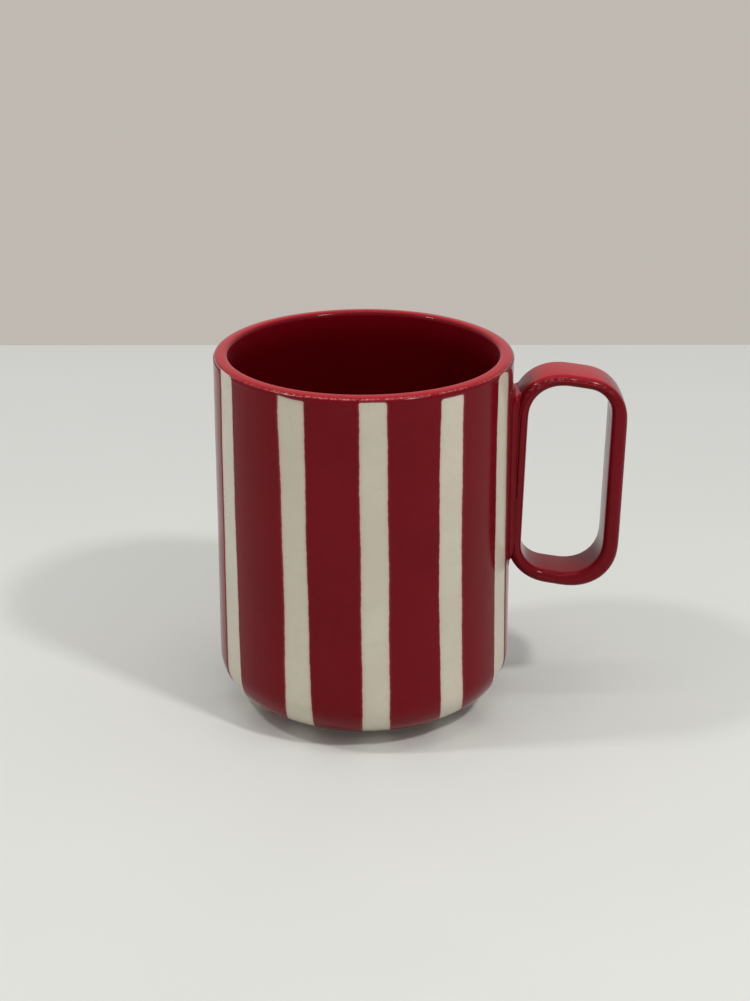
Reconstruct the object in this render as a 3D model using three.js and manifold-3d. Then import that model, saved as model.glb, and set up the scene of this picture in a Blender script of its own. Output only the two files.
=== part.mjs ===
// A round stoneware mug with a strap handle, glazed red with upright cream stripes.
// Millimetres, +Z up. The origin is on the cup's axis, in the plane that the foot stands on, and
// the handle points along +X. Angles around the cup start at -Y and turn towards +X.

import * as THREE from 'three';
import { mergeVertices } from 'three/addons/utils/BufferGeometryUtils.js';
import Module from 'manifold-3d';

const wasm = await Module();
wasm.setup();

// ---- Driving dimensions ----

// Cup, measured over the glaze
const cupRadius = 42;
const cupHeight = 105.3;
const wallThickness = 4.2;
const rimCrown = 1.3; // height of the rounded top edge
const heelReach = 17.4; // how far the outside curves in at the heel
const heelRise = 14; // and how far up that curve starts
const heelLift = 1.3; // lowest glazed line above the table
const floorHeight = 6.3; // inside floor above the table
const innerHeelReach = 14;
const innerHeelRise = 12;
const footRadius = 26.5; // flat unglazed foot
const footBevel = 0.6;

// Handle, measured over the glaze: an upright loop of flat strap in the XZ plane
const loopOutside = { left: 41.3, right: 73.4, bottom: 36.2, top: 99.7 };
const loopHole = { left: 45.6, right: 68.7, bottom: 40.4, top: 96.1 };
const outsideCorners = { topRight: 10.7, topLeft: 14.7, bottomLeft: 11.1, bottomRight: 14.6 };
const holeCorners = { topRight: 6.2, topLeft: 10.3, bottomLeft: 6.6, bottomRight: 10.9 };
const strapWidth = 15;
const strapEdgeRadius = 1.5;
const loopLean = 0.028; // sideways shift of the loop per unit of height
const loopSag = -0.156; // drop of the loop per unit outwards

// Luting seam between the wall and the handle's inner upright
const seamHalfWidth = 9.6;
const seamBottom = 43;
const seamTop = 96.2;
const seamCornerRadius = 4;
const seamThroat = 2.2; // height of the fillet off the wall
const seamToe = 2; // and its spread along the wall
const slipBed = 0.8; // clay slip between the wall and the strap

// Glaze coats
const creamThickness = 0.25;
const redThickness = 0.3;
const coatGap = 0.1; // air between one coat and what it lies on
const cutGap = 0.3; // air around the seam and the handle's clay
const collarDrop = 1.9; // from the rim's top to the lower edge of its red collar
const glazeLine = THREE.MathUtils.degToRad(76); // where the coats stop, down the heel's curve

// Stripes: the cream shows in gaps between the red stripes
const creamWidth = 10.9; // degrees
const frontGaps = [-64.1, -26.9, 4.1, 34.9, 67.1]; // centres, hand spaced
const gapAfterHandle = 112;
const gapsBehind = 5; // between that one and the first front gap

// Facets
const aroundSteps = 60;
const heelSteps = 5;
const rimSteps = 6;
const stripeSteps = 5;
const cornerSteps = 3;

// ---- Materials ----

const redGlaze = new THREE.MeshStandardMaterial({ color: 0x7d1620, roughness: 0.18, metalness: 0 });
const creamGlaze = new THREE.MeshStandardMaterial({ color: 0xb9af9b, roughness: 0.25, metalness: 0 });
const bareClay = new THREE.MeshStandardMaterial({ color: 0xcbbda6, roughness: 0.85, metalness: 0 });

// ---- Layers, as insets from the glazed outside ----

const creamInset = redThickness + coatGap;
const clayInset = creamInset + creamThickness + coatGap;
const liningInset = redThickness + coatGap; // clay under the inside coat
const clayRadius = cupRadius - clayInset;
const innerRadius = cupRadius - wallThickness;
const rimBase = cupHeight - rimCrown;
const collarBottom = cupHeight - collarDrop;

// ---- Helpers ----

const radians = THREE.MathUtils.degToRad;
const point = (r, z) => new THREE.Vector2(r, z);

// A body of revolution about Z from an outline of (radius, height) points
function turned(outline) {
  return new THREE.LatheGeometry(outline, aroundSteps).rotateX(Math.PI / 2);
}

// A closed mesh with shared corners and no slivers, ready to cut or to show
function plain(geometry) {
  const bare = geometry.clone();
  bare.deleteAttribute('normal');
  bare.deleteAttribute('uv');
  const merged = mergeVertices(bare, 1e-5);
  const corners = merged.index.array;
  const kept = [];
  for (let i = 0; i < corners.length; i += 3) {
    const [a, b, c] = corners.slice(i, i + 3);
    if (a !== b && b !== c && c !== a) kept.push(a, b, c);
  }
  merged.setIndex(kept);
  return merged;
}

function toSolid(geometry) {
  const merged = plain(geometry);
  return new wasm.Manifold(
    new wasm.Mesh({
      numProp: 3,
      vertProperties: new Float32Array(merged.attributes.position.array),
      triVerts: new Uint32Array(merged.index.array),
    }),
  );
}

function fromSolid(solid) {
  const cut = solid.getMesh();
  const geometry = new THREE.BufferGeometry();
  geometry.setAttribute('position', new THREE.BufferAttribute(cut.vertProperties, 3));
  geometry.setIndex(new THREE.BufferAttribute(cut.triVerts, 1));
  geometry.computeVertexNormals();
  return geometry;
}

function addPart(name, geometry, material) {
  const mesh = new THREE.Mesh(geometry, material);
  mesh.name = name;
  mug.add(mesh);
}

// An upright cylinder about the cup's axis, with the same facets as the turned parts
function wallCutter(radius) {
  const height = 2 * cupHeight;
  return toSolid(new THREE.CylinderGeometry(radius, radius, height, aroundSteps).rotateX(Math.PI / 2));
}

// ---- Cup outlines ----

// The outside of the heel, from an angle below its widest line up to that line
function heelArc(inset, angle) {
  const centre = point(cupRadius - heelReach, heelLift + heelRise);
  const arc = new THREE.EllipseCurve(centre.x, centre.y, heelReach - inset, heelRise - inset, -angle, 0);
  return arc.getPoints(heelSteps);
}

// The inside of the heel, from the wall down to the floor, drawn back by an inset into the clay
function innerHeelArc(inset) {
  const centre = point(innerRadius - innerHeelReach, floorHeight + innerHeelRise);
  const reach = innerHeelReach + inset;
  const rise = innerHeelRise + inset;
  const arc = new THREE.EllipseCurve(centre.x, centre.y, reach, rise, 0, -Math.PI / 2, true);
  return arc.getPoints(heelSteps);
}

// The rounded top edge, from the outside over to the inside
function rimArc(outer, inner, crown) {
  const middle = (outer + inner) / 2;
  const halfWidth = (outer - inner) / 2;
  return new THREE.EllipseCurve(middle, rimBase, halfWidth, crown, 0, Math.PI).getPoints(rimSteps);
}

// The outline of a coat on the outside of the cup, between two insets
function coatOutline(outerInset, innerInset) {
  const top = collarBottom - coatGap;
  const face = [...heelArc(outerInset, glazeLine), point(cupRadius - outerInset, top)];
  const back = [...heelArc(innerInset, glazeLine), point(cupRadius - innerInset, top)];
  return [...face, ...back.reverse()];
}

function cupBody() {
  const footAngle = Math.acos((footRadius - (cupRadius - heelReach)) / (heelReach - clayInset));
  return turned([
    point(0, 0),
    point(footRadius - footBevel, 0),
    point(footRadius, footBevel),
    heelArc(clayInset, footAngle)[0],
    ...heelArc(clayInset, glazeLine),
    ...rimArc(clayRadius, innerRadius + liningInset, rimCrown - liningInset),
    ...innerHeelArc(liningInset),
    point(0, floorHeight - liningInset),
  ]);
}

// One coat lines the inside, runs over the rim and ends in a collar outside
function liningAndRimCoat() {
  return turned([
    point(0, floorHeight - redThickness),
    ...innerHeelArc(redThickness).reverse(),
    ...rimArc(clayRadius + coatGap, innerRadius + redThickness, rimCrown - redThickness).reverse(),
    point(clayRadius + coatGap, collarBottom),
    point(cupRadius, collarBottom),
    ...rimArc(cupRadius, innerRadius, rimCrown),
    ...innerHeelArc(0),
    point(0, floorHeight),
  ]);
}

// The cream coat lies under every red stripe, and stops around the handle's seam
function creamCoat() {
  const outline = coatOutline(creamInset, clayInset - coatGap);
  return fromSolid(toSolid(turned([...outline, outline[0]])).subtract(seamClearance()));
}

// A red stripe: the coat's outline swept around the cup from one angle to another
function redStripe(startAngle, endAngle) {
  const outline = new THREE.Shape(coatOutline(0, redThickness));
  const sweep = { depth: 1, steps: stripeSteps, bevelEnabled: false };
  const stripe = new THREE.ExtrudeGeometry(outline, sweep);
  const corners = stripe.attributes.position;
  for (let i = 0; i < corners.count; i++) {
    const radius = corners.getX(i);
    const height = corners.getY(i);
    const angle = radians(THREE.MathUtils.lerp(endAngle, startAngle, corners.getZ(i)));
    corners.setXYZ(i, radius * Math.sin(angle), -radius * Math.cos(angle), height);
  }
  return plain(stripe);
}

// ---- Handle ----

// The loop leans and sags a little, as a soft strap does when it is set on the wall
function settle(corner) {
  const middleX = (loopOutside.left + loopOutside.right) / 2;
  const middleZ = (loopOutside.bottom + loopOutside.top) / 2;
  return point(
    corner.x + loopLean * (corner.y - middleZ),
    corner.y + loopSag * (corner.x - middleX),
  );
}

// A rounded rectangle grown by an amount on every side
function roundedLoop(sides, corners, grow) {
  const left = sides.left - grow;
  const right = sides.right + grow;
  const bottom = sides.bottom - grow;
  const top = sides.top + grow;
  const quarter = Math.PI / 2;
  const path = new THREE.Path();
  const turn = (corner, fromX, fromZ, signX, signZ, startQuarter) => {
    const radius = corner + grow;
    const start = startQuarter * quarter;
    path.absarc(fromX + signX * radius, fromZ + signZ * radius, radius, start, start + quarter, false);
  };
  turn(corners.topRight, right, top, -1, -1, 0);
  turn(corners.topLeft, left, top, 1, -1, 1);
  turn(corners.bottomLeft, left, bottom, 1, 1, 2);
  turn(corners.bottomRight, right, bottom, -1, 1, 3);
  return path.getPoints(cornerSteps).map(settle);
}

// The strap loop with rounded long edges, grown or shrunk by an amount all over
function strap(grow) {
  const outline = new THREE.Shape(roundedLoop(loopOutside, outsideCorners, grow));
  outline.holes.push(new THREE.Path(roundedLoop(loopHole, holeCorners, -grow)));
  const depth = strapWidth - 2 * strapEdgeRadius;
  const edge = strapEdgeRadius + grow;
  const rounding = { bevelThickness: edge, bevelSize: edge, bevelOffset: -edge, bevelSegments: 2 };
  const bar = new THREE.ExtrudeGeometry(outline, { depth, steps: 1, ...rounding });
  return toSolid(bar.translate(0, 0, -depth / 2).rotateX(Math.PI / 2));
}

const handleClayShrink = -(redThickness + coatGap);
const seamBackRadius = clayRadius + coatGap;
const seamFaceRadius = seamBackRadius + slipBed;
const strapBackRadius = seamFaceRadius + cutGap;
const seamReach = seamBackRadius + seamThroat;
const padRoot = clayRadius / 2; // where the seam's pads start, well inside the wall

function handleStrap() {
  return fromSolid(strap(handleClayShrink).subtract(wallCutter(strapBackRadius)));
}

// The coat wraps the strap, and is open where the strap meets the seam
function handleCoat() {
  const sleeve = strap(0).subtract(strap(-redThickness));
  return fromSolid(sleeve.subtract(wallCutter(seamReach + cutGap)));
}

// An upright pad on the +X side of the cup, grown by an amount, from one X to another
function seamPad(grow, fromX, toX, bevel) {
  const sides = { left: -seamHalfWidth - grow, right: seamHalfWidth + grow };
  const radius = seamCornerRadius + grow;
  const quarter = Math.PI / 2;
  const outline = new THREE.Shape();
  const [low, high] = [seamBottom - grow, seamTop + grow];
  outline.absarc(sides.right - radius, high - radius, radius, 0, quarter, false);
  outline.absarc(sides.left + radius, high - radius, radius, quarter, 2 * quarter, false);
  outline.absarc(sides.left + radius, low + radius, radius, 2 * quarter, 3 * quarter, false);
  outline.absarc(sides.right - radius, low + radius, radius, 3 * quarter, 4 * quarter, false);
  const depth = toX - fromX;
  const pad = new THREE.ExtrudeGeometry(outline, { depth, curveSegments: cornerSteps, ...bevel });
  return toSolid(pad.translate(0, 0, fromX).rotateX(Math.PI / 2).rotateZ(Math.PI / 2));
}

function seamClearance() {
  return seamPad(cutGap, padRoot, cupRadius + strapWidth, { bevelEnabled: false });
}

// Slip and pooled glaze: a thin bed behind the strap with a fillet all round it
function lutingSeam() {
  const bevel = { bevelThickness: seamThroat, bevelSize: seamToe, bevelOffset: -seamToe, bevelSegments: 1 };
  const baseX = seamBackRadius * Math.cos(Math.asin(seamHalfWidth / seamBackRadius));
  const pad = seamPad(0, padRoot, baseX, bevel);
  const strapBed = strap(handleClayShrink + cutGap).subtract(wallCutter(seamFaceRadius));
  return fromSolid(pad.subtract(wallCutter(seamBackRadius)).subtract(strapBed));
}

// ---- Assembly ----

const mug = new THREE.Group();

addPart('cup_body', cupBody(), bareClay);
addPart('handle_strap', handleStrap(), bareClay);
addPart('handle_luting_seam', lutingSeam(), redGlaze);
addPart('lining_and_rim_glaze', liningAndRimCoat(), redGlaze);
addPart('cream_glaze', creamCoat(), creamGlaze);
addPart('handle_glaze', handleCoat(), redGlaze);

const spacingBehind = (frontGaps[0] + 360 - gapAfterHandle) / (gapsBehind + 1);
const gaps = [...frontGaps];
for (let i = 0; i <= gapsBehind; i++) gaps.push(gapAfterHandle + i * spacingBehind);
const handleStripe = frontGaps.length;

gaps.forEach((gap, i) => {
  const next = i + 1 < gaps.length ? gaps[i + 1] : gaps[0] + 360;
  const stripe = redStripe(gap + creamWidth / 2, next - creamWidth / 2);
  const besideHandle = i + 1 === handleStripe;
  const shape = besideHandle ? fromSolid(toSolid(stripe).subtract(seamClearance())) : stripe;
  addPart(`red_stripe_${String(i + 1).padStart(2, '0')}`, shape, redGlaze);
});

export default mug;
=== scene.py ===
"""Looks for the striped stoneware mug: fine glaze coats, clay and a hand-bent strap handle.

Lengths inside the shape functions are millimetres, and each mesh is scaled to metres when it is
made. Angles around the cup start at -Y and turn towards +X, where the handle is.
"""

import math
import random
from collections import namedtuple

import bpy
import numpy as np
from mathutils import Matrix, Vector


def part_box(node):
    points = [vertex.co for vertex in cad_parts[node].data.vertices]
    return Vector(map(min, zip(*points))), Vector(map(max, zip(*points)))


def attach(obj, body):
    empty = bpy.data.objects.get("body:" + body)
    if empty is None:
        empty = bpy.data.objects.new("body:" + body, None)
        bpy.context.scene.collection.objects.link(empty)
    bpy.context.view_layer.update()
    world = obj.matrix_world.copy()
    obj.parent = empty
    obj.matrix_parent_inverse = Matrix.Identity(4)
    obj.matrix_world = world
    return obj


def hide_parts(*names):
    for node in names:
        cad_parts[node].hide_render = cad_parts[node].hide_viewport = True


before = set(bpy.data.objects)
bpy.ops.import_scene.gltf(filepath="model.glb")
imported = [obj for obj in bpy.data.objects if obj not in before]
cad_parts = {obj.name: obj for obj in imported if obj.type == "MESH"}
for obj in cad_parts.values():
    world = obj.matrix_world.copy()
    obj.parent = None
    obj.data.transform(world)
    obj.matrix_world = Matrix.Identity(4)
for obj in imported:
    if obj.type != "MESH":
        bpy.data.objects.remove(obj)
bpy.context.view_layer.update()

MM = 0.001

# ---- Driving dimensions, in millimetres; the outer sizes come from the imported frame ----

RIM_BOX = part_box("lining_and_rim_glaze")
HANDLE_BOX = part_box("handle_glaze")
CUP_RADIUS = RIM_BOX[1].y / MM
CUP_HEIGHT = RIM_BOX[1].z / MM
STRAP_WIDTH = (HANDLE_BOX[1].y - HANDLE_BOX[0].y) / MM
WALL = 4.2
INNER_RADIUS = CUP_RADIUS - WALL
FLOOR_HEIGHT = RIM_BOX[0].z / MM + 0.3
HEEL_REACH = 17.4
HEEL_RISE = 14.0
HEEL_LIFT = 1.3
HEEL_TOP = HEEL_LIFT + HEEL_RISE
INNER_HEEL_REACH = 14.0
INNER_HEEL_RISE = 12.0
FOOT_RADIUS = 26.5
FOOT_BEVEL = 0.6
FOOT_RING_PITCH = 2.6  # trimming rings under the foot
FOOT_RING_DEPTH = 0.06
GLAZE_LINE = 76.0  # degrees round the heel's curve, where the coats stop
FOOT_LINE = 83.0

# Depths below the red stripes' surface
CREAM_DEPTH = 0.24
CREAM_BACK = 0.46
CLAY_DEPTH = 0.5
LINING_THICKNESS = 0.3
COAT_GAP = 0.05  # between the lining's back and the clay
EDGE_ROLL = 0.42  # width of a stripe's rounded edge

# Rim and its red collar
RIM_CROWN = 1.75
RIM_TILT = 0.42
RIM_SQUARENESS = 2.35
COLLAR_PROUD = 0.07
GLINT_AT = 1.72  # along the rim's outer curve from its middle: where the painted pale glints sit
GLINT_WIDTH = 0.2
COLLAR_OVER_STRIPE = 3.4
COLLAR_BLEND = 1.9
STRIPE_TOP = CUP_HEIGHT - 1.7
CREAM_TOP = CUP_HEIGHT - 0.9

# The handle's loop, an upright rounded rectangle: sides and corner radii
LOOP_OUTSIDE = {"left": 41.3, "right": 73.4, "bottom": 36.2, "top": 99.7}
LOOP_HOLE = {"left": 45.6, "right": 68.7, "bottom": 40.4, "top": 96.1}
OUTSIDE_CORNERS = (10.7, 14.7, 11.1, 14.6)  # top right, top left, bottom left, bottom right
HOLE_CORNERS = (6.2, 10.3, 6.6, 10.9)
LOOP_LEAN = 0.028
LOOP_SAG = -0.156
STRAP_EDGE = 1.95
STRAP_CROWN = 0.22
STRAP_COAT = 0.3
STRAP_CLAY_DEPTH = 0.34  # the clay lies just under the coat's back
SEAM_LOW, SEAM_HIGH = 45.9, 92.4  # where the strap's back leaves the wall
SEAM_CORNER = 2.4
SEAM_TOE_SIDE, SEAM_TOE_END = 1.9, 3.4  # how far the pooled glaze runs out over the wall
SEAM_LIFT_SIDE, SEAM_LIFT_END = 2.0, 2.05  # and how far up the strap, from the wall

# ---- Stripe layout ----

# Angles of a cream gap's left and right edges, in degrees, at the rim, half way down and just
# above the heel; how far the collar comes down over the cream at its left, middle and right; the
# collar's two corner radii; and how much the left and right edges open over the heel
Gap = namedtuple("Gap", "left right drops corners flares")

FRONT_GAPS = [
    Gap((-69.4, -69.9, -69.9), (-58.5, -58.3, -57.3), (0.9, 0.95, 1.3), (0.3, 0.5), (0.2, 0.4)),
    Gap((-33.2, -32.0, -31.6), (-22.2, -21.8, -20.9), (1.4, 1.9, 2.2), (0.4, 0.4), (0.0, 0.6)),
    Gap((-1.8, -1.3, -0.8), (8.4, 9.1, 9.6), (1.5, 1.4, 1.45), (0.5, 0.9), (0.1, 0.3)),
    Gap((29.3, 29.2, 30.2), (39.6, 39.7, 40.9), (2.5, 2.3, 2.3), (0.4, 0.5), (0.4, 0.0)),
    Gap((60.9, 61.0, 62.2), (72.0, 72.8, 75.4), (1.7, 1.3, 2.5), (0.4, 1.6), (0.3, 0.1)),
]
GAP_AFTER_HANDLE = 112.0
GAPS_BEHIND = 5
GAP_WIDTH = 10.9
LOW_LINE = 27.0  # height of the lower angles in a Gap
TOP_LINE = 97.0
FLARE_START = 14.0
STRAIGHT_FRONT = 50.0  # degrees each side of the front where lines stay upright over the heel
STRAIGHT_FADE = 50.0


def make_gaps():
    """The gaps in the stripes all the way round, front ones first."""
    dice = random.Random(5)
    gaps = list(FRONT_GAPS)
    first = (FRONT_GAPS[0].left[0] + FRONT_GAPS[0].right[0]) / 2 + 360
    step = (first - GAP_AFTER_HANDLE) / (GAPS_BEHIND + 1)
    for i in range(GAPS_BEHIND + 1):
        centre = GAP_AFTER_HANDLE + i * step + dice.uniform(-0.6, 0.6)
        half = (GAP_WIDTH + dice.uniform(-0.8, 0.8)) / 2
        lean = dice.uniform(0.4, 1.8)
        drops = tuple(dice.uniform(1.1, 2.2) for _ in range(3))
        corners = (dice.uniform(0.3, 0.8), dice.uniform(0.3, 0.8))
        flares = (dice.uniform(0.1, 0.5), dice.uniform(0.1, 0.5))
        left = (centre - half, centre - half + lean / 2, centre - half + lean)
        right = (centre + half, centre + half + lean / 2, centre + half + lean)
        gaps.append(Gap(left, right, drops, corners, flares))
    return gaps


GAPS = make_gaps()

# ---- Small helpers ----


def smooth(x):
    """A soft step from 0 to 1 as x goes from 0 to 1."""
    x = np.clip(x, 0.0, 1.0)
    return x * x * (3 - 2 * x)


def roll(distance, width):
    """The profile of a rounded edge: 0 at the edge, 1 from a width inwards."""
    return np.sqrt(1 - (1 - np.clip(distance / width, 0.0, 1.0)) ** 2)


def wander(seed, waves):
    """A smooth random function of one number, from (size, wavelength) waves with seeded phases."""
    dice = random.Random(seed)
    terms = [(size, math.tau / length, dice.uniform(0, math.tau)) for size, length in waves]
    return lambda at: sum(size * np.sin(rate * at + phase) for size, rate, phase in terms)


def ripple(angle, z):
    """Hand-made unevenness of the wall: a shift outwards in millimetres."""
    swell = 0.05 * np.sin(2 * angle + 0.8 + z / 60) + 0.035 * np.sin(3 * angle + 2.1 - z / 45)
    rings = 0.012 * np.sin(z / 3.1 + 0.7 * np.sin(2 * angle)) + 0.02 * np.sin(z / 9.0 + angle)
    return swell + rings


def around(radius, angle, z):
    """Points at a radius, an angle from -Y towards +X, and a height."""
    radius, angle, z = np.broadcast_arrays(radius, angle, z)
    return np.stack([radius * np.sin(angle), -radius * np.cos(angle), z], axis=-1)


# ---- Mesh making ----


def ring_faces(rows, columns, close_rows=False):
    """Quads of a grid whose columns join up all the way round, and whose rows may too."""
    faces = []
    for i in range(rows if close_rows else rows - 1):
        low, high = i * columns, (i + 1) % rows * columns
        for j in range(columns):
            k = (j + 1) % columns
            faces.append((low + j, low + k, high + k, high + j))
    return faces


def make_piece(name, points, faces, material, nodes, weights=None):
    """A smooth mesh piece that rides on the part and stands for the CAD nodes named."""
    mesh = bpy.data.meshes.new(name)
    mesh.from_pydata((np.asarray(points) * MM).tolist(), [], faces)
    for label, values in (weights or {}).items():
        layer = mesh.attributes.new(label, "FLOAT", "POINT")
        layer.data.foreach_set("value", np.asarray(values, np.float32).ravel())
    mesh.update()
    mesh.shade_smooth()
    piece = bpy.data.objects.new(name, mesh)
    bpy.context.scene.collection.objects.link(piece)
    piece.data.materials.append(material)
    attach(piece, "root")
    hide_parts(*nodes)
    return piece


def lathe_body(grid, weights):
    """Points, faces and weights of a body that starts and ends in a point on the axis."""
    rows, columns = grid.shape[:2]
    inner = grid[1:-1].reshape(-1, 3)
    faces = ring_faces(rows - 2, columns)
    start, end = len(inner), len(inner) + 1
    last = (rows - 3) * columns
    for j in range(columns):
        k = (j + 1) % columns
        faces.append((start, k, j))
        faces.append((last + j, last + k, end))
    points = np.vstack([inner, grid[0, :1], grid[-1, :1]])
    flat = {}
    for label, values in weights.items():
        flat[label] = np.concatenate([values[1:-1].ravel(), values[0, :1], values[-1, :1]])
    return points, faces, flat


# ---- Outlines of the cup ----


def outer_rows(top, spacing=0.8, heel_steps=34, start=GLAZE_LINE):
    """Radius, height and outward normal of rows up the outside, from the glaze line to the top."""
    angle = np.radians(np.linspace(start, 0, heel_steps))
    r = CUP_RADIUS - HEEL_REACH + HEEL_REACH * np.cos(angle)
    z = HEEL_TOP - HEEL_RISE * np.sin(angle)
    normal = np.stack([np.cos(angle) / HEEL_REACH, -np.sin(angle) / HEEL_RISE], axis=-1)
    normal /= np.linalg.norm(normal, axis=-1, keepdims=True)
    count = int((top - HEEL_TOP) / spacing)
    wall_z = np.linspace(HEEL_TOP, top, count + 1)[1:]
    wall_normal = np.tile([1.0, 0.0], (count, 1))
    r = np.concatenate([r, np.full(count, CUP_RADIUS)])
    z = np.concatenate([z, wall_z])
    return r, z, np.vstack([normal, wall_normal])


def inner_rows(inset, heel_steps=26, wall_steps=60):
    """Radius and height of rows over the inside, from the floor's middle up to the rim's base."""
    floor_end = INNER_RADIUS - INNER_HEEL_REACH
    floor_r = np.linspace(0, floor_end, 12)[:-1]
    angle = np.radians(np.linspace(-90, 0, heel_steps))
    heel_r = floor_end + (INNER_HEEL_REACH + inset) * np.cos(angle)
    heel_z = FLOOR_HEIGHT + INNER_HEEL_RISE + (INNER_HEEL_RISE + inset) * np.sin(angle)
    wall_z = np.linspace(FLOOR_HEIGHT + INNER_HEEL_RISE, CUP_HEIGHT - RIM_CROWN, wall_steps)[1:]
    r = np.concatenate([floor_r, heel_r, np.full(wall_steps - 1, INNER_RADIUS + inset)])
    z = np.concatenate([np.full(11, FLOOR_HEIGHT - inset), heel_z, wall_z])
    return r, z


def rim_rows(inset, steps):
    """Radius and height over the rounded rim, from the inside to the outside."""
    turn = np.radians(np.linspace(180, 0, steps))
    half = WALL / 2 - inset
    across = np.sign(np.cos(turn)) * np.abs(np.cos(turn)) ** (2 / RIM_SQUARENESS)
    up = np.sin(turn) ** (2 / RIM_SQUARENESS)
    r = INNER_RADIUS + WALL / 2 + half * across
    z = CUP_HEIGHT - RIM_CROWN + (RIM_CROWN - inset) * up - RIM_TILT * up * (across + 1) / 2
    return r, z


def outer_shoulder():
    """The curve from the rim's middle over its outer edge and down the wall, as a function.

    It takes lengths along the curve and gives radius, height and outward normal; the second thing
    returned turns depths below the rim's top into such lengths.
    """
    rim_r, rim_z = rim_rows(0.0, 401)
    wall_z = np.linspace(CUP_HEIGHT - RIM_CROWN, CUP_HEIGHT - 8, 60)[1:]
    r = np.concatenate([rim_r[200:], np.full(59, CUP_RADIUS)])
    z = np.concatenate([rim_z[200:], wall_z])
    step = np.hypot(np.diff(r), np.diff(z))
    length = np.concatenate([[0], np.cumsum(step)])
    slope_r, slope_z = np.gradient(r, length), np.gradient(z, length)
    size = np.hypot(slope_r, slope_z)

    def at(s):
        values = (np.interp(s, length, v) for v in (r, z, -slope_z / size, slope_r / size))
        return tuple(values)

    def length_at(depth):
        return np.interp(depth, CUP_HEIGHT - z, length)

    return at, length_at


# ---- Columns that follow the stripes' edges ----

INSIDE_STEPS = np.array([0, 0.08, 0.18, 0.32, 0.55, 0.9, 1.4])  # from an edge into the cream
OUTSIDE_STEPS = np.array([-0.9, -0.5, -0.22])  # and under the red
UNDER_STRIPE = 8


def bowed(top, middle, low, at):
    """A parabola through three values, evaluated from 0 at the top to 1 at the low one."""
    return top + (4 * middle - 3 * top - low) * at + 2 * (top + low - 2 * middle) * at * at


def edge_lines(gap, number, r, z):
    """Angles of a gap's left and right edges along rows of radius r and height z."""
    down = np.clip((TOP_LINE - z) / (TOP_LINE - LOW_LINE), 0.0, 1.3)
    left, right = (bowed(*line, down) for line in (gap.left, gap.right))
    centre = np.radians((left + right) / 2)
    half = np.radians((right - left) / 2) * CUP_RADIUS
    flare = smooth((FLARE_START - z) / (FLARE_START - HEEL_LIFT)) ** 2
    waves = ((0.07, 37.0), (0.035, 12.0), (0.03, 4.9), (0.03, 2.4), (0.02, 1.3))
    left_edge = half + gap.flares[0] * flare + wander(100 + number, waves)(z)
    right_edge = half + gap.flares[1] * flare + wander(200 + number, waves)(z)
    turn = (centre + math.pi) % math.tau - math.pi
    upright = 1 - smooth((np.degrees(np.abs(turn)) - STRAIGHT_FRONT) / STRAIGHT_FADE)
    centre = centre + turn * upright * (CUP_RADIUS / r - 1)
    return centre - left_edge / r, centre + right_edge / r


def gap_columns(r, z):
    """Angles of all columns for rows (r, z), and each column's distance into the cream."""
    edges = [edge_lines(gap, number, r, z) for number, gap in enumerate(GAPS)]
    angles, depths, owners = [], [], []
    for number, (left, right) in enumerate(edges):
        steps = np.concatenate([OUTSIDE_STEPS, INSIDE_STEPS])
        for step in steps:
            angles.append(left + step / r)
            depths.append(step)
        angles.append((left + right) / 2)
        depths.append(np.mean((right - left) * r) / 2)
        for step in steps[::-1]:
            angles.append(right - step / r)
            depths.append(step)
        following = edges[(number + 1) % len(edges)][0]
        turn = math.tau if number + 1 == len(edges) else 0
        start = right - OUTSIDE_STEPS[0] / r
        end = following + turn + OUTSIDE_STEPS[0] / r
        for i in range(1, UNDER_STRIPE):
            angles.append(start + (end - start) * i / UNDER_STRIPE)
            depths.append(np.mean((start - end) * r) * min(i, UNDER_STRIPE - i) / UNDER_STRIPE)
        owners.append(2 * len(steps) + UNDER_STRIPE)
    return np.stack(angles, axis=-1), np.array(depths), owners


# ---- Materials ----


def node_tools(material):
    """Short helpers that add and link nodes in a material."""
    tree = material.node_tree
    tree.nodes.clear()

    def add(kind, **settings):
        node = tree.nodes.new(kind)
        for key, value in settings.items():
            setattr(node, key, value)
        return node

    def link(source, target):
        tree.links.new(source, target)

    return add, link


def noise_value(add, link, place, scale, detail=3.0, roughness=0.5):
    """Noise fixed to the piece, with a scale per metre."""
    node = add("ShaderNodeTexNoise")
    node.inputs["Scale"].default_value = scale
    node.inputs["Detail"].default_value = detail
    node.inputs["Roughness"].default_value = roughness
    link(place.outputs["Object"], node.inputs["Vector"])
    return node.outputs["Fac"]


def spread(add, link, value, low, high, to_low, to_high):
    """A value stretched from one range to another, held at the ends."""
    node = add("ShaderNodeMapRange")
    limits = {"From Min": low, "From Max": high, "To Min": to_low, "To Max": to_high}
    for label, number in limits.items():
        node.inputs[label].default_value = number
    link(value, node.inputs["Value"])
    return node.outputs["Result"]


def multiply(add, link, first, second):
    """The product of two values."""
    node = add("ShaderNodeMath", operation="MULTIPLY")
    link(first, node.inputs[0])
    link(second, node.inputs[1])
    return node.outputs[0]


def invert(add, link, value):
    """One minus a value."""
    node = add("ShaderNodeMath", operation="SUBTRACT")
    node.inputs[0].default_value = 1.0
    link(value, node.inputs[1])
    return node.outputs[0]


def blend_colour(add, link, amount, first, second, mode="MIX"):
    """A mix of two colours, each a socket or a plain (r, g, b)."""
    node = add("ShaderNodeMix", data_type="RGBA", blend_type=mode)
    for index, value in ((6, first), (7, second)):
        if isinstance(value, tuple):
            node.inputs[index].default_value = (*value, 1.0)
        else:
            link(value, node.inputs[index])
    if isinstance(amount, float):
        node.inputs[0].default_value = amount
    else:
        link(amount, node.inputs[0])
    return node.outputs[2]


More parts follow.
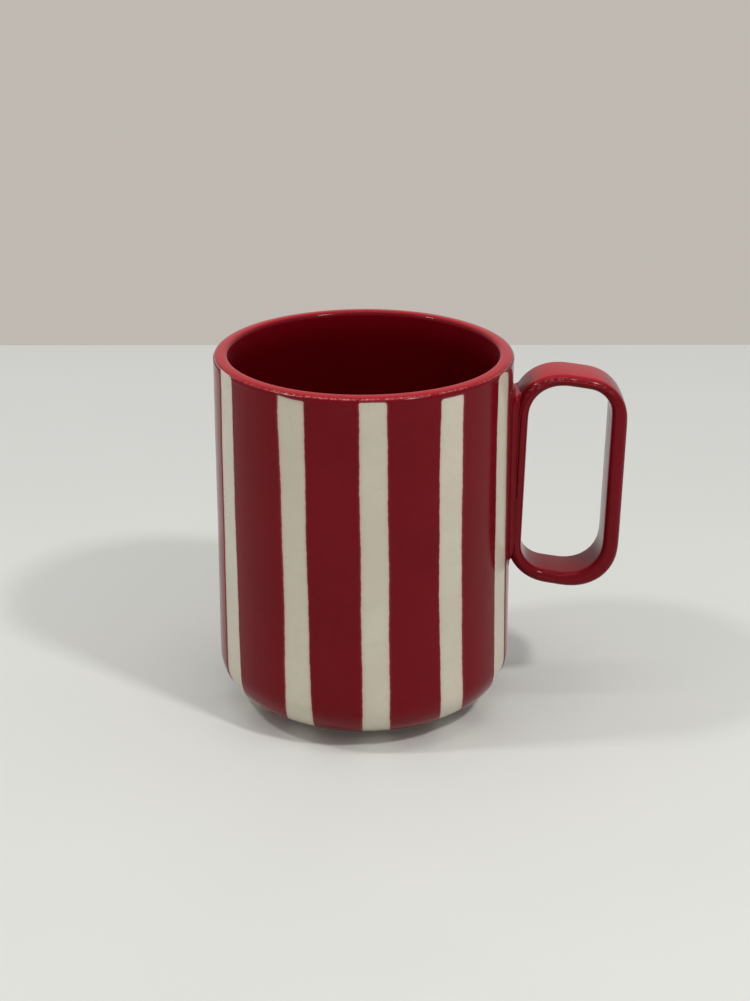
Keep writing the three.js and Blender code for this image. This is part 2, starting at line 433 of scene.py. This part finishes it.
def add_bump(add, link, height, strength, distance, before=None):
    """A normal with a bump up to a distance in millimetres, over an earlier one if given."""
    node = add("ShaderNodeBump")
    node.inputs["Strength"].default_value = strength
    node.inputs["Distance"].default_value = distance * MM
    link(height, node.inputs["Height"])
    if before is not None:
        link(before, node.inputs["Normal"])
    return node.outputs["Normal"]


def glaze_shader(add, link, colour, roughness, normal, level):
    """The surface shader and the material's output; level sets how strong reflections are."""
    shader = add("ShaderNodeBsdfPrincipled")
    shader.inputs["Specular IOR Level"].default_value = level
    link(colour, shader.inputs["Base Color"])
    link(roughness, shader.inputs["Roughness"])
    link(normal, shader.inputs["Normal"])
    output = add("ShaderNodeOutputMaterial")
    link(shader.outputs["BSDF"], output.inputs["Surface"])
    return shader


def red_glaze():
    """Dark crimson gloss, lighter where it runs thin over edges; painted shade darkens it down
    inside the cup, painted light lightens faces that look up, and painted glints sit on edges.
    """
    material = bpy.data.materials.new("red_glaze")
    material.use_nodes = True
    add, link = node_tools(material)
    place = add("ShaderNodeTexCoord")
    broad = noise_value(add, link, place, 28.0, 2.0)
    mottle = noise_value(add, link, place, 260.0, 4.0, 0.6)
    grain = noise_value(add, link, place, 1500.0, 2.0)
    colour = blend_colour(add, link, spread(add, link, broad, 0.3, 0.7, 0.0, 1.0),
                          (0.138, 0.0006, 0.0048), (0.162, 0.0012, 0.0070))
    colour = blend_colour(add, link, spread(add, link, mottle, 0.35, 0.75, 0.0, 0.4),
                          colour, (0.172, 0.0034, 0.0090))
    # Painted shade: darker red further down inside the cup, where it lies in shade
    painted_inside_shade = add("ShaderNodeAttribute", attribute_name="painted_inside_shade")
    colour = blend_colour(add, link, painted_inside_shade.outputs["Fac"], colour, (0.088, 0.0006, 0.0018))
    # Painted light: faces that look up are lightened to a pale red as if lit from above, less so
    # lower down, where the handle's bottom bar is in shade, and not inside the cup
    facing = add("ShaderNodeSeparateXYZ")
    link(add("ShaderNodeNewGeometry").outputs["Normal"], facing.inputs[0])
    height = add("ShaderNodeSeparateXYZ")
    link(add("ShaderNodeNewGeometry").outputs["Position"], height.inputs[0])
    painted_top_light = multiply(add, link, spread(add, link, facing.outputs["Z"], 0.6, 0.97, 0.0, 0.8),
                      spread(add, link, height.outputs["Z"], 0.05, 0.085, 0.3, 1.0))
    painted_top_light = multiply(add, link, painted_top_light, invert(add, link, painted_inside_shade.outputs["Fac"]))
    colour = blend_colour(add, link, painted_top_light, colour, (0.47, 0.014, 0.024))
    thin = add("ShaderNodeAttribute", attribute_name="thin")
    colour = blend_colour(add, link, thin.outputs["Fac"], colour, (0.40, 0.13, 0.12))
    dark = spread(add, link, grain, 0.68, 0.80, 0.0, 0.4)
    colour = blend_colour(add, link, dark, colour, (0.05, 0.001, 0.003))
    # Painted highlight: pale glints broken into flecks along the rim's outer edge and the handle's
    # top edge
    painted_glint = add("ShaderNodeAttribute", attribute_name="painted_glint")
    glint_flecks = spread(add, link, noise_value(add, link, place, 1100.0, 2.0), 0.44, 0.64, 0.0, 0.8)
    colour = blend_colour(add, link, multiply(add, link, glint_flecks, painted_glint.outputs["Fac"]),
                          colour, (0.60, 0.30, 0.30))
    roughness = spread(add, link, mottle, 0.3, 0.7, 0.11, 0.20)
    normal = add_bump(add, link, noise_value(add, link, place, 420.0, 2.0), 0.35, 0.05)
    normal = add_bump(add, link, noise_value(add, link, place, 130.0, 1.0), 0.35, 0.12, normal)
    shader = glaze_shader(add, link, colour, roughness, normal, 0.125)
    link(spread(add, link, painted_inside_shade.outputs["Fac"], 0.0, 1.0, 0.06, 0.0), shader.inputs["Sheen Weight"])
    shader.inputs["Sheen Roughness"].default_value = 0.42
    shader.inputs["Sheen Tint"].default_value = (1.0, 0.40, 0.42, 1)
    return material


def cream_glaze():
    """Cream gloss with specks and pinholes, tinted where red has bled into it."""
    material = bpy.data.materials.new("cream_glaze")
    material.use_nodes = True
    add, link = node_tools(material)
    place = add("ShaderNodeTexCoord")
    broad = noise_value(add, link, place, 40.0, 2.0)
    mottle = noise_value(add, link, place, 300.0, 4.0, 0.6)
    grain = noise_value(add, link, place, 1100.0, 3.0, 0.6)
    colour = blend_colour(add, link, spread(add, link, broad, 0.3, 0.7, 0.0, 1.0),
                          (0.555, 0.51, 0.405), (0.61, 0.57, 0.47))
    colour = blend_colour(add, link, spread(add, link, mottle, 0.5, 0.75, 0.0, 0.45),
                          colour, (0.50, 0.47, 0.375))
    speck = spread(add, link, grain, 0.70, 0.76, 0.0, 0.75)
    colour = blend_colour(add, link, speck, colour, (0.22, 0.19, 0.15))
    bleed = add("ShaderNodeAttribute", attribute_name="bleed")
    colour = blend_colour(add, link, bleed.outputs["Fac"], colour, (0.52, 0.30, 0.26))
    roughness = spread(add, link, mottle, 0.3, 0.7, 0.16, 0.28)
    pinholes = spread(add, link, grain, 0.70, 0.78, 1.0, 0.0)
    normal = add_bump(add, link, noise_value(add, link, place, 420.0, 2.0), 0.35, 0.05)
    normal = add_bump(add, link, pinholes, 0.5, 0.06, normal)
    glaze_shader(add, link, colour, roughness, normal, 0.35)
    return material


def bare_clay():
    """Unglazed fired clay, as on the foot."""
    material = bpy.data.materials.new("bare_clay")
    material.use_nodes = True
    add, link = node_tools(material)
    place = add("ShaderNodeTexCoord")
    broad = noise_value(add, link, place, 60.0, 3.0)
    grain = noise_value(add, link, place, 1400.0, 4.0, 0.65)
    colour = blend_colour(add, link, spread(add, link, broad, 0.3, 0.7, 0.0, 1.0),
                          (0.50, 0.41, 0.30), (0.62, 0.53, 0.41))
    speck = spread(add, link, grain, 0.66, 0.74, 0.0, 0.7)
    colour = blend_colour(add, link, speck, colour, (0.20, 0.14, 0.10))
    roughness = spread(add, link, grain, 0.3, 0.7, 0.75, 0.95)
    normal = add_bump(add, link, grain, 0.6, 0.12)
    glaze_shader(add, link, colour, roughness, normal, 0.3)
    return material


RED = red_glaze()
CREAM = cream_glaze()
CLAY = bare_clay()

# ---- Cup pieces ----


def clay_cup():
    """The fired clay under the coats, with trimming rings on its foot."""
    angles = np.linspace(0, math.tau, 240, endpoint=False)
    ring_r = np.linspace(0, FOOT_RADIUS - FOOT_BEVEL, 90)
    wave = 0.5 - 0.5 * np.cos(ring_r * math.tau / FOOT_RING_PITCH)
    ring_z = FOOT_RING_DEPTH * wave * smooth((FOOT_RADIUS - 2 - ring_r) / 2)
    bevel_r = np.array([FOOT_RADIUS - 0.3 * FOOT_BEVEL, FOOT_RADIUS])
    bevel_z = np.array([0.3 * FOOT_BEVEL, FOOT_BEVEL])
    out_r, out_z, normal = outer_rows(CUP_HEIGHT - RIM_CROWN, 2.0, 40, FOOT_LINE)
    out_r = out_r - CLAY_DEPTH * normal[:, 0]
    out_z = out_z - CLAY_DEPTH * normal[:, 1]
    rim_r, rim_z = rim_rows(CLAY_DEPTH, 12)
    in_r, in_z = inner_rows(LINING_THICKNESS + COAT_GAP, 20, 30)
    r = np.concatenate([ring_r, bevel_r, out_r, rim_r[::-1][1:-1], in_r[::-1]])
    z = np.concatenate([ring_z, bevel_z, out_z, rim_z[::-1][1:-1], in_z[::-1]])
    grid = around(r[:, None], angles[None, :], z[:, None])
    points, faces, _ = lathe_body(grid, {})
    make_piece("cup_clay", points, faces, CLAY, ["cup_body"])


def collar_shape(angles, depths, owners):
    """For each column at the rim: how far the collar comes down, and 1 over cream or 0 over red."""
    drop = np.full(len(depths), COLLAR_OVER_STRIPE)
    over_cream = smooth((depths + EDGE_ROLL) / EDGE_ROLL)
    start = 0
    for gap, count in zip(GAPS, owners):
        width = len(OUTSIDE_STEPS) + len(INSIDE_STEPS)
        part = slice(start, start + 2 * width + 1)
        span = angles[part]
        left, right = span[len(OUTSIDE_STEPS)], span[-1 - len(OUTSIDE_STEPS)]
        t = np.clip((span - left) / (right - left), 0, 1)
        first, middle, last = gap.drops
        line = first * (1 - t) * (1 - 2 * t) + middle * 4 * t * (1 - t) + last * t * (2 * t - 1)
        corner = np.where(t < 0.5, gap.corners[0], gap.corners[1])
        inside = np.clip(depths[part], 0, corner)
        line = line + corner - np.sqrt(corner ** 2 - (corner - inside) ** 2)
        under = smooth(-depths[part] / (2 * EDGE_ROLL))
        drop[part] = line + (COLLAR_OVER_STRIPE - line) * under
        start += count
    return drop, over_cream


def lining_and_rim():
    """The red coat over the inside, the rim and the collar."""
    collar_line = np.array([CUP_HEIGHT - 2.0])
    top_angles, depths, counts = gap_columns(np.array([CUP_RADIUS]), collar_line)
    angles = top_angles[0]
    drop, over_cream = collar_shape(angles, depths, counts)
    drop = drop + wander(31, ((0.05, 0.31), (0.04, 0.12)))(angles)
    at, length_at = outer_shoulder()
    edge = length_at(drop)

    def settle(r, z):
        """The same small unevenness as the wall's, and a rim that isn't quite level."""
        swell = 0.10 * np.sin(2 * angles + 1.1) + 0.05 * np.sin(5 * angles + 0.3)
        share = smooth((z - CUP_HEIGHT + 14) / 14)
        return around(r + ripple(angles, z) * smooth((r - 12) / 20), angles, z + share * swell * 0.6)

    def shoulder(t, level):
        r, z, normal_r, normal_z = at(edge[None, :] * t)
        return settle(r - level * normal_r, z - level * normal_z)

    in_r, in_z = inner_rows(0.0)
    rim_r, rim_z = rim_rows(0.0, 61)
    in_r, in_z = np.concatenate([in_r, rim_r[1:30]]), np.concatenate([in_z, rim_z[1:30]])
    inside = settle(in_r[:, None] + 0 * angles, in_z[:, None] + 0 * angles)

    t = 1 - np.linspace(1, 0, 34)[:, None] ** 1.6
    to_edge = edge[None, :] * (1 - t)
    rise_cream = roll(to_edge, EDGE_ROLL)
    rise_red = smooth(to_edge / COLLAR_BLEND)
    rise = over_cream * rise_cream + (1 - over_cream) * rise_red
    sunk = over_cream * (CREAM_DEPTH + 0.03) + (1 - over_cream) * 0.06
    proud = COLLAR_PROUD * smooth(edge[None, :] * t / 1.5)
    shown = shoulder(t, sunk * (1 - rise) - proud * rise)

    back_t = np.linspace(1, 0, 12)[:, None] ** 0.7
    back = shoulder(back_t, LINING_THICKNESS + COAT_GAP + 0 * to_edge[:12])
    under_r, under_z = inner_rows(LINING_THICKNESS)
    rim_r, rim_z = rim_rows(LINING_THICKNESS, 21)
    under_r = np.concatenate([under_r, rim_r[1:10]])[::-1]
    under_z = np.concatenate([under_z, rim_z[1:10]])[::-1]
    underside = settle(under_r[:, None] + 0 * angles, under_z[:, None] + 0 * angles)

    grid = np.concatenate([inside, shown, back, underside])
    thin = np.zeros(grid.shape[:2])
    first = len(inside)
    thin[first:first + len(shown)] = 0.65 * over_cream * np.exp(-to_edge / 0.22)
    # Painted shade weight: 0 at the rim, rising to 1 about 9 mm down inside the cup
    painted_inside_shade = np.zeros(grid.shape[:2])
    painted_inside_shade[:first] = smooth((CUP_HEIGHT - 0.8 - in_z) / 9.0)[:, None]
    # Painted highlight: the rim's glints are strongest at the front and fade to a quarter round the
    # back
    turn = (angles + math.pi) % math.tau - math.pi
    front_glint_share = 0.25 + 0.75 * np.exp(-(np.degrees(turn) / 38) ** 4)
    painted_glint = np.zeros(grid.shape[:2])
    from_glint = (edge[None, :] * t - GLINT_AT) / GLINT_WIDTH
    painted_glint[first:first + len(shown)] = front_glint_share * np.exp(-from_glint ** 2)
    named = {"thin": thin[:, ::-1], "painted_inside_shade": painted_inside_shade[:, ::-1], "painted_glint": painted_glint[:, ::-1]}
    points, faces, weights = lathe_body(grid[:, ::-1], named)
    make_piece("lining_and_rim_coat", points, faces, RED, ["lining_and_rim_glaze"],
               weights)


def cream_coat():
    """The cream coat; its columns follow the stripes' edges, where the red tints it."""
    r, z, normal = outer_rows(CREAM_TOP)
    angles, depths, _ = gap_columns(r, z)
    swell = ripple(angles, z[:, None])

    def layer(depth):
        out = swell - depth
        return around(r[:, None] + out * normal[:, :1], angles, z[:, None] + out * normal[:, 1:])

    front = layer(CREAM_DEPTH)
    back = layer(CREAM_BACK)[::-1]
    grid = np.concatenate([front, back])
    rows, columns = grid.shape[:2]
    bleed = np.exp(-np.abs(depths) / 0.34) * (depths >= -0.3)
    bleed = np.broadcast_to(0.75 * bleed, (rows, columns))
    faces = ring_faces(rows, columns, close_rows=True)
    make_piece("cream_coat", grid.reshape(-1, 3), faces, CREAM, ["cream_glaze"],
               {"bleed": bleed})


def red_stripe(number):
    """One red stripe between two gaps: a raised strip with rounded, slightly wandering edges."""
    r, z, normal = outer_rows(STRIPE_TOP)
    following = (number + 1) % len(GAPS)
    turn = math.tau if following == 0 else 0.0
    start = edge_lines(GAPS[number], number, r, z)[1]
    end = edge_lines(GAPS[following], following, r, z)[0] + turn
    rim = np.array([0, 0.03, 0.08, 0.16, 0.27, EDGE_ROLL, 0.7, 1.2])
    width = (end - start) * r
    steps = [rim[None, :] + 0 * width[:, None]]
    count = max(4, int(width.max() / 1.2))
    middle = np.linspace(0, 1, count + 2)[1:-1]
    steps.append(rim[-1] + (width[:, None] - 2 * rim[-1]) * middle[None, :])
    steps.append(width[:, None] - rim[None, ::-1])
    across = np.concatenate(steps, axis=1)
    angles = start[:, None] + across / r[:, None]
    along = np.concatenate([[0], np.cumsum(np.hypot(np.diff(r), np.diff(z)))])[:, None]
    foot = 0.25 + 0.2 * wander(300 + number, ((0.6, 0.5), (0.4, 0.17)))(angles)
    to_side = np.minimum(across, width[:, None] - across)
    rise = roll(to_side, EDGE_ROLL) * roll(along - foot, 2.2 * EDGE_ROLL)
    swell = ripple(angles, z[:, None])

    def layer(depth):
        out = swell - depth
        return around(r[:, None] + out * normal[:, :1], angles, z[:, None] + out * normal[:, 1:])

    front = layer((CREAM_DEPTH + 0.01) * (1 - rise))
    back = layer(CREAM_DEPTH + 0.05)
    grid = np.concatenate([front, back[:, ::-1]], axis=1)
    rows, columns = grid.shape[:2]
    faces = ring_faces(rows, columns)
    half = front.shape[1]
    for row, flip in ((0, False), (rows - 1, True)):
        for j in range(half - 1):
            low, high = row * columns + j, row * columns + columns - 1 - j
            quad = (low, high, high - 1, low + 1)
            faces.append(quad[::-1] if flip else quad)
    thin = np.concatenate([np.exp(-to_side / 0.16), np.exp(-to_side / 0.16)[:, ::-1]], axis=1)
    name = f"red_stripe_{number + 1:02d}"
    make_piece(f"{name}_coat", grid.reshape(-1, 3), faces, RED, [name],
               {"thin": 0.55 * thin})


# ---- Handle ----


def soften(path, passes):
    """A closed path with its turns eased."""
    for _ in range(passes):
        path = (np.roll(path, 1, axis=0) + 2 * path + np.roll(path, -1, axis=0)) / 4
    return path


def loop_path(sides, corners, arc_steps=26, straight_steps=24):
    """A rounded rectangle in the XZ plane, leaning and sagging like a soft strap."""
    left, right, bottom, top = (sides[key] for key in ("left", "right", "bottom", "top"))
    signs = ((1, 1), (-1, 1), (-1, -1), (1, -1))
    corner_points = []
    for index, (sign_x, sign_z) in enumerate(signs):
        radius = corners[index]
        centre_x = (right if sign_x > 0 else left) - sign_x * radius
        centre_z = (top if sign_z > 0 else bottom) - sign_z * radius
        turn = np.radians(np.linspace(90 * index, 90 * index + 90, arc_steps))
        arc_x = centre_x + radius * np.cos(turn)
        arc_z = centre_z + radius * np.sin(turn)
        corner_points.append(np.stack([arc_x, arc_z], axis=-1))
    path = []
    for index, arc in enumerate(corner_points):
        following = corner_points[(index + 1) % 4]
        share = np.linspace(0, 1, straight_steps + 2)[1:-1, None]
        path += [arc, arc[-1] + (following[0] - arc[-1]) * share]
    path = soften(np.vstack(path), 8)
    middle_x = (LOOP_OUTSIDE["left"] + LOOP_OUTSIDE["right"]) / 2
    middle_z = (LOOP_OUTSIDE["bottom"] + LOOP_OUTSIDE["top"]) / 2
    x = path[:, 0] + LOOP_LEAN * (path[:, 1] - middle_z)
    z = path[:, 1] + LOOP_SAG * (path[:, 0] - middle_x)
    return np.stack([x, z], axis=-1)


def strap_section(half_thick, half_wide, edge):
    """Corner-rounded section of the strap as (across its thickness, along Y), outer face first."""
    turn = np.radians(np.linspace(0, 90, 9))
    face = np.linspace(0, 1, 9)[:-1]
    flat = half_wide - edge
    side = half_thick - edge
    across = [edge] * len(face) + list(edge * np.cos(turn))
    along = [flat * f for f in face] + list(flat + edge * np.sin(turn))
    across = np.array(across)[None, :] + side[:, None]
    along = np.array(along)[None, :] + 0 * side[:, None]
    across = across - STRAP_CROWN * (along / half_wide) ** 2
    upper = np.concatenate([across, 0 * side[:, None], -across[:, ::-1]], axis=1)
    edge_y = np.concatenate([along, half_wide + 0 * side[:, None], along[:, ::-1]], axis=1)
    full_across = np.concatenate([upper, upper[:, -2:0:-1]], axis=1)
    full_along = np.concatenate([edge_y, -edge_y[:, -2:0:-1]], axis=1)
    return full_across, full_along


def strap_loop(shrink, clear_radius):
    """The strap as a closed loop of sections, drawn in by an amount and kept off the cup's wall."""
    outside = loop_path(LOOP_OUTSIDE, OUTSIDE_CORNERS)
    hole = loop_path(LOOP_HOLE, HOLE_CORNERS)
    middle = (outside + hole) / 2
    outwards = outside - hole
    thick = np.linalg.norm(outwards, axis=1)
    outwards /= thick[:, None]
    half_thick = thick / 2 - shrink
    across, along = strap_section(half_thick, STRAP_WIDTH / 2 - shrink, STRAP_EDGE - shrink / 2)
    index = np.arange(len(middle)) / len(middle) * math.tau
    sway = 0.10 * np.sin(2 * index + 0.4) + 0.06 * np.sin(5 * index + 1.7)
    x = middle[:, :1] + across * outwards[:, :1]
    z = middle[:, 1:] + across * outwards[:, 1:]
    y = along * (1 + 0.008 * np.sin(3 * index + 0.9))[:, None] + sway[:, None]
    radius = np.hypot(x, y)
    push = np.maximum(1, clear_radius / radius)
    return np.stack([x * push, y * push, z], axis=-1)


def handle():
    """The clay strap and the red coat all round it."""
    clay = strap_loop(STRAP_CLAY_DEPTH, CUP_RADIUS + STRAP_CLAY_DEPTH)
    rows, columns = clay.shape[:2]
    faces = ring_faces(rows, columns, close_rows=True)
    make_piece("handle_clay", clay.reshape(-1, 3), faces, CLAY, ["handle_strap"])
    coat = strap_loop(0.0, CUP_RADIUS + 0.02)
    under = strap_loop(STRAP_COAT, CUP_RADIUS + STRAP_COAT)
    count = rows * columns
    inner_faces = [tuple(count + v for v in reversed(face)) for face in faces]
    points = np.vstack([coat.reshape(-1, 3), under.reshape(-1, 3)])
    column = np.arange(columns)[None, :]
    # Painted highlight: pale glints along the strap's front upper edge at the top of the loop
    painted_glint = np.exp(-((column - 0.81 * columns) / 0.9) ** 2) * smooth((coat[..., 2] - 93) / 3)
    painted_glint = np.concatenate([0.3 * painted_glint.ravel(), np.zeros(count)])
    make_piece("handle_coat", points, faces + inner_faces, RED, ["handle_glaze"],
               {"painted_glint": painted_glint})


def seam():
    """Glaze and slip pooled in the angle between the strap and the wall, all round the contact."""
    half = STRAP_WIDTH / 2
    radius = SEAM_CORNER
    path, normal = [], []
    middle_z = (SEAM_LOW + SEAM_HIGH) / 2
    half_high = (SEAM_HIGH - SEAM_LOW) / 2
    for index, (sign_y, sign_z) in enumerate(((1, 1), (-1, 1), (-1, -1), (1, -1))):
        centre = np.array([sign_y * (half - radius), middle_z + sign_z * (half_high - radius)])
        turn = np.radians(np.linspace(90 * index, 90 * index + 90, 14))
        outwards = np.stack([np.cos(turn), np.sin(turn)], axis=-1)
        path.append(centre + radius * outwards)
        normal.append(outwards)
    full_path, full_normal = [], []
    for index in range(4):
        following = (index + 1) % 4
        steps = 40 if index % 2 else 12
        share = np.linspace(0, 1, steps + 2)[1:-1, None]
        start = path[index][-1]
        full_path += [path[index], start + (path[following][0] - start) * share]
        full_normal += [normal[index], np.tile(normal[index][-1], (steps, 1))]
    path, normal = np.vstack(full_path), np.vstack(full_normal)
    y, z = path[:, 0], path[:, 1]
    side, end = np.abs(normal[:, 0]), np.abs(normal[:, 1])
    index = np.arange(len(path)) / len(path) * math.tau
    vary = 1 + 0.12 * np.sin(5 * index + 0.7) + 0.08 * np.sin(11 * index)
    toe = (SEAM_TOE_SIDE * side ** 2 + SEAM_TOE_END * end ** 2) * vary
    toe_y, toe_z = y + normal[:, 0] * toe, z + normal[:, 1] * toe
    wall = CUP_RADIUS - 0.05
    toe_point = np.stack([np.sqrt(wall ** 2 - toe_y ** 2), toe_y, toe_z], axis=-1)
    corner_x = np.sqrt(wall ** 2 - y ** 2) + 0.3 * end ** 2
    corner = np.stack([corner_x, y, z], axis=-1)
    lift_x = SEAM_LIFT_SIDE * side ** 2 * vary + SEAM_LIFT_END * end ** 2
    lift_z = normal[:, 1] * 1.8 * end
    inward = 0.12
    top = np.stack([corner_x + lift_x, y - inward * normal[:, 0], z + lift_z], axis=-1)
    buried = np.stack([corner_x + 0.4, y - 1.6 * normal[:, 0], z - 1.2 * normal[:, 1]], axis=-1)
    rings = []
    for t in np.linspace(0, 1, 11):
        rings.append((1 - t) ** 2 * toe_point + 2 * t * (1 - t) * corner + t * t * top)
    rings.append(buried)
    grid = np.stack(rings[::-1], axis=1)
    rows, columns = grid.shape[:2]
    faces = ring_faces(rows, columns, close_rows=True)
    make_piece("handle_seam", grid.reshape(-1, 3), faces, RED, ["handle_luting_seam"])


clay_cup()
lining_and_rim()
cream_coat()
for stripe_number in range(len(GAPS)):
    red_stripe(stripe_number)
handle()
seam()

# ---- Floor, light and camera ----

WALL_COLOUR = (0.522, 0.487, 0.445)
SKY_LIGHT = 0.53
REAR_LIGHT = 0.60
TABLE_SIDE = 1.6
TABLE_BACK = 0.34
TABLE_FRONT = -1.4
LAMP_COLOUR = (1.0, 0.98, 0.96)


def table():
    """A plain pale table top under the mug."""
    corners = [(-TABLE_SIDE, TABLE_FRONT, 0), (TABLE_SIDE, TABLE_FRONT, 0),
               (TABLE_SIDE, TABLE_BACK, 0), (-TABLE_SIDE, TABLE_BACK, 0)]
    mesh = bpy.data.meshes.new("table")
    mesh.from_pydata(corners, [], [(0, 1, 2, 3)])
    top = bpy.data.objects.new("table", mesh)
    bpy.context.scene.collection.objects.link(top)
    material = bpy.data.materials.new("pale_table")
    material.use_nodes = True
    add, link = node_tools(material)
    place = add("ShaderNodeTexCoord")
    broad = noise_value(add, link, place, 9.0, 3.0)
    grain = noise_value(add, link, place, 400.0, 3.0)
    colour = blend_colour(add, link, spread(add, link, broad, 0.3, 0.7, 0.0, 1.0),
                          (0.735, 0.755, 0.725), (0.755, 0.77, 0.745))
    normal = add_bump(add, link, grain, 0.3, 0.05)
    roughness = spread(add, link, broad, 0.3, 0.7, 0.55, 0.65)
    glaze_shader(add, link, colour, roughness, normal, 0.3)
    top.data.materials.append(material)


def surroundings():
    """A pale wall for the camera, and for all else soft light that is strongest behind the mug."""
    world = bpy.data.worlds.new("studio")
    world.use_nodes = True
    bpy.context.scene.world = world
    add, link = node_tools(world)
    seen = add("ShaderNodeBackground")
    seen.inputs["Color"].default_value = (*WALL_COLOUR, 1)
    light = add("ShaderNodeBackground")
    light.inputs["Color"].default_value = (1.0, 0.985, 0.97, 1)
    direction = add("ShaderNodeSeparateXYZ")
    link(add("ShaderNodeTexCoord").outputs["Generated"], direction.inputs[0])
    behind = spread(add, link, direction.outputs["Y"], 0.1, 0.8, 0.0, 1.0)
    above = spread(add, link, direction.outputs["Z"], 0.02, 0.25, 0.0, 1.0)
    below_top = spread(add, link, direction.outputs["Z"], 0.5, 0.8, 1.0, 0.0)
    band = multiply(add, link, multiply(add, link, behind, above), below_top)
    strength = spread(add, link, band, 0.0, 1.0, SKY_LIGHT, REAR_LIGHT)
    link(strength, light.inputs["Strength"])
    path = add("ShaderNodeLightPath")
    mix = add("ShaderNodeMixShader")
    output = add("ShaderNodeOutputWorld")
    link(path.outputs["Is Camera Ray"], mix.inputs[0])
    link(light.outputs[0], mix.inputs[1])
    link(seen.outputs[0], mix.inputs[2])
    link(mix.outputs[0], output.inputs[0])


def lamp(name, azimuth, elevation, distance, size, watts):
    """A soft lamp, wide and high by size, that faces the mug; azimuth turns from -Y towards +X."""
    azimuth, elevation = math.radians(azimuth), math.radians(elevation)
    towards = Vector((math.sin(azimuth) * math.cos(elevation),
                      -math.cos(azimuth) * math.cos(elevation), math.sin(elevation)))
    data = bpy.data.lights.new(name, "AREA")
    data.shape = "RECTANGLE"
    data.size, data.size_y = size
    data.energy = watts
    data.color = LAMP_COLOUR
    light = bpy.data.objects.new(name, data)
    light.location = towards * distance + Vector((0, 0, CUP_HEIGHT * MM / 2))
    light.rotation_euler = towards.to_track_quat("Z", "Y").to_euler()
    bpy.context.scene.collection.objects.link(light)


def camera():
    """The camera: it looks down on the mug from the front, with the handle on its right."""
    distance, look_height = 0.6331, 0.0529
    rise = math.radians(22.05)
    pitch, yaw, roll_angle = (math.radians(a) for a in (21.45, 0.310, 0.052))
    data = bpy.data.cameras.new("camera")
    data.lens = 79.12
    data.sensor_width = 36
    data.clip_start = 0.01
    eye = bpy.data.objects.new("camera", data)
    place = Vector((0, -distance * math.cos(rise), look_height + distance * math.sin(rise)))
    level = math.cos(pitch)
    forward = Vector((math.sin(yaw) * level, math.cos(yaw) * level, -math.sin(pitch)))
    right = Vector((math.cos(yaw), -math.sin(yaw), 0))
    up = right.cross(forward)
    right, up = (math.cos(roll_angle) * right + math.sin(roll_angle) * up,
                 math.cos(roll_angle) * up - math.sin(roll_angle) * right)
    turned = Matrix((right, up, -forward)).transposed().to_4x4()
    eye.matrix_world = Matrix.Translation(place) @ turned
    bpy.context.scene.collection.objects.link(eye)
    bpy.context.scene.camera = eye


camera()
table()
surroundings()
lamp("lamp_right", 44, 49.5, 0.85, (0.07, 0.07), 2.35)
lamp("lamp_left", -78, 54, 0.85, (0.07, 0.07), 1.4)
lamp("ceiling_strip", 0, 84, 1.3, (0.8, 0.08), 1.5)
bpy.context.scene.view_settings.view_transform = "Standard"
